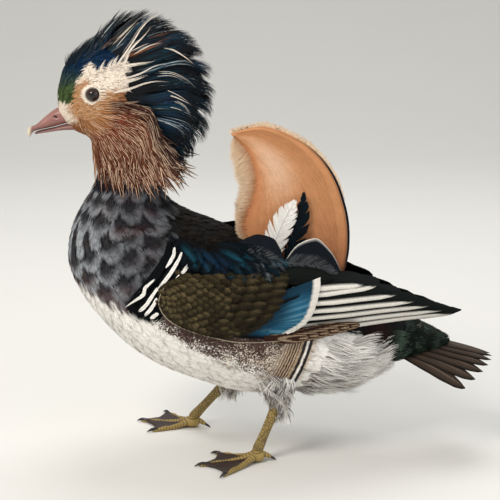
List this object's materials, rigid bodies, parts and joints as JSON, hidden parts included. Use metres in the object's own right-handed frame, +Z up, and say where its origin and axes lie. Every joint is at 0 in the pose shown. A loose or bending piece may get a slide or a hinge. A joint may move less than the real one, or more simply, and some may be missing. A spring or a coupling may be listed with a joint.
{
  "type": "mandarin duck",
  "caption": "Life-size standing mandarin drake with a raised crest, fanned ruff, two erect sail feathers, folded wings and webbed feet.",
  "frame": {"origin": "on the floor below the centre of the bird's bounding box", "axes": "+X towards the tail, +Y towards the bird's right side, +Z up; the bill points to -X"},
  "size_m": [0.347, 0.1478, 0.3296],
  "materials": {
    "plumage_body": "soft dark plum breast feathers with pale scalloped edges, brown-black back, white belly",
    "plumage_ruff": "long narrow rusty copper feathers with cream shafts",
    "plumage_face": "cream round the eye, buff at the bill, orange cheek, green forehead",
    "plumage_crest": "long silky blue-black and green locks with white and copper streaks",
    "bill_horn": "satin dusty red horn with a pale nail",
    "eye_glass": "dark brown, wet gloss",
    "plumage_wing": "olive-brown coverts, blue speculum with a white band, dark quills with white edges",
    "plumage_sail": "orange fan with fine barb lines and a cream front fringe",
    "plumage_white": "soft white down and plumes",
    "plumage_dark": "blue-black, slightly glossy",
    "plumage_tail": "dark green-black coverts over grey-brown pointed feathers",
    "leg_scales": "ochre yellow reticulate scales",
    "foot_skin": "ochre yellow scaled toes with dark brown webs and dark claws"
  },
  "bodies": {
    "root": {"torso": "plumage_body", "neck": "plumage_ruff", "head": "plumage_face", "crest": "plumage_crest", "bill_upper": "bill_horn", "bill_lower": "bill_horn", "tail": "plumage_tail", "eye_left": "eye_glass", "wing_left": "plumage_wing", "sail_left": "plumage_sail", "plume_white_left": "plumage_white", "plume_black_left": "plumage_dark", "thigh_left": "plumage_white", "leg_left": "leg_scales", "foot_left": "foot_skin", "eye_right": "eye_glass", "wing_right": "plumage_wing", "sail_right": "plumage_sail", "plume_white_right": "plumage_white", "plume_black_right": "plumage_dark", "thigh_right": "plumage_white", "leg_right": "leg_scales", "foot_right": "foot_skin"}
  },
  "joints": []
}
